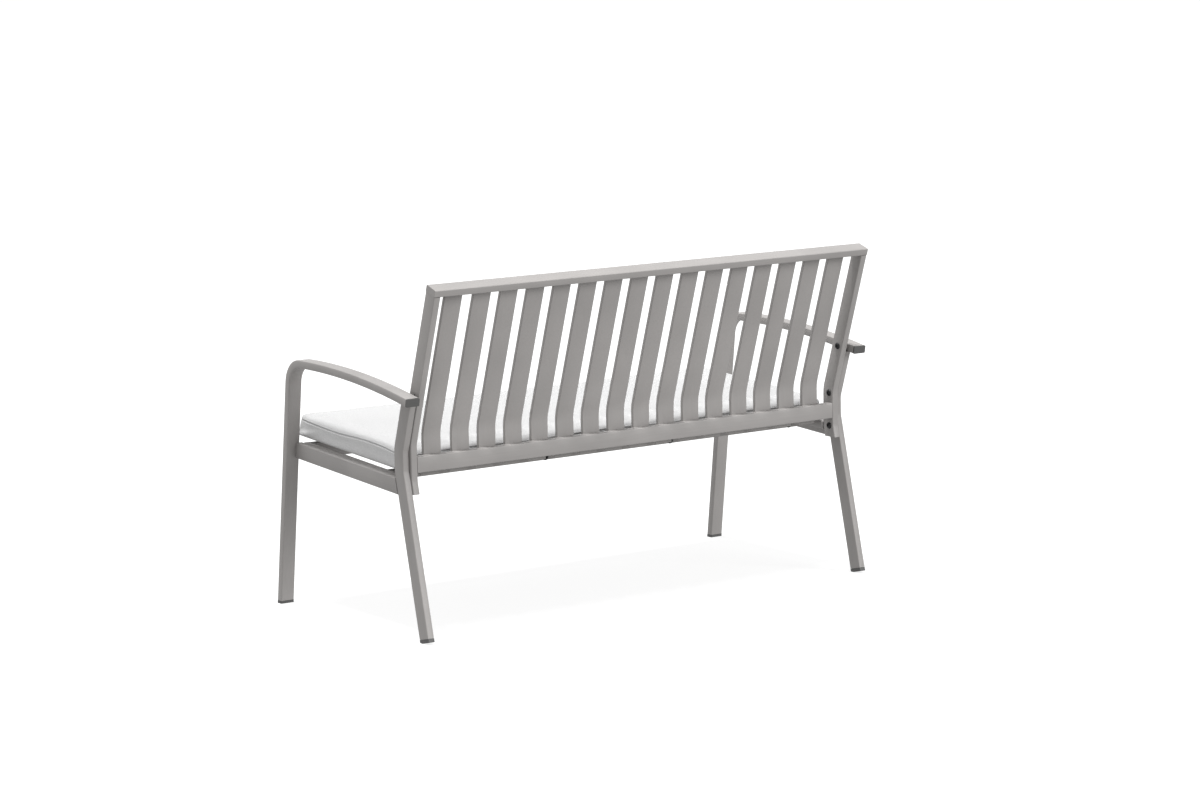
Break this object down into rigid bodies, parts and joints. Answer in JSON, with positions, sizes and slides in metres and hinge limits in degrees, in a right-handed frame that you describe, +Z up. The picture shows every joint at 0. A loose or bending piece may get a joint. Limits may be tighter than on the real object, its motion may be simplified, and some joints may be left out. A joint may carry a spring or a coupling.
{
  "type": "garden_bench",
  "caption": "Garden bench with bent flat-tube arms and legs in taupe powder-coated aluminium, a slatted back and seat, black feet, and one loose light grey fabric seat cushion.",
  "frame": {"origin": "on the ground, under the middle of the bench's bounding box", "axes": "+X along the bench's length, +Y towards the back of the bench (a sitter faces -Y), +Z up"},
  "size_m": [1.4094, 0.7242, 0.8707],
  "materials": {
    "frame_coat": "satin powder coat",
    "black_plastic": "matte moulded",
    "bolt_black": "black, satin",
    "fabric": "heathered woven"
  },
  "bodies": {
    "frame": {"front_leg_and_arm_left": "frame_coat", "rear_leg_left": "frame_coat", "side_rail_left": "frame_coat", "back_stile_left": "frame_coat", "arm_end_cap_left": "black_plastic", "front_foot_left": "black_plastic", "rear_foot_left": "black_plastic", "bolt_arm_left": "bolt_black", "bolt_hip_left": "bolt_black", "bolt_knee_left": "bolt_black", "front_leg_and_arm_right": "frame_coat", "rear_leg_right": "frame_coat", "side_rail_right": "frame_coat", "back_stile_right": "frame_coat", "arm_end_cap_right": "black_plastic", "front_foot_right": "black_plastic", "rear_foot_right": "black_plastic", "bolt_arm_right": "bolt_black", "bolt_hip_right": "bolt_black", "bolt_knee_right": "bolt_black", "back_top_rail": "frame_coat", "back_lower_rail": "frame_coat", "seat_front_rail": "frame_coat", "seat_rear_rail": "frame_coat", "back_slat_01": "frame_coat", "back_slat_02": "frame_coat", "back_slat_03": "frame_coat", "back_slat_04": "frame_coat", "back_slat_05": "frame_coat", "back_slat_06": "frame_coat", "back_slat_07": "frame_coat", "back_slat_08": "frame_coat", "back_slat_09": "frame_coat", "back_slat_10": "frame_coat", "back_slat_11": "frame_coat", "back_slat_12": "frame_coat", "back_slat_13": "frame_coat", "back_slat_14": "frame_coat", "back_slat_15": "frame_coat", "back_slat_16": "frame_coat", "seat_slat_01": "frame_coat", "seat_slat_02": "frame_coat", "seat_slat_03": "frame_coat", "seat_slat_04": "frame_coat", "seat_slat_05": "frame_coat", "seat_slat_06": "frame_coat", "seat_slat_07": "frame_coat", "seat_slat_08": "frame_coat", "seat_slat_09": "frame_coat", "seat_slat_10": "frame_coat", "seat_slat_11": "frame_coat", "seat_slat_12": "frame_coat", "seat_slat_13": "frame_coat", "seat_slat_14": "frame_coat", "seat_slat_15": "frame_coat", "seat_slat_16": "frame_coat", "bolt_seat": "bolt_black", "seat_side_bar_left": "frame_coat", "seat_side_bar_right": "frame_coat"},
    "cushion": {"seat_cushion": "fabric"}
  },
  "joints": [
    {"name": "cushion_lift", "type": "slide", "parent": "frame", "child": "cushion", "axis": [0, 0, 1], "range_m": [0, 0.3]}
  ]
}
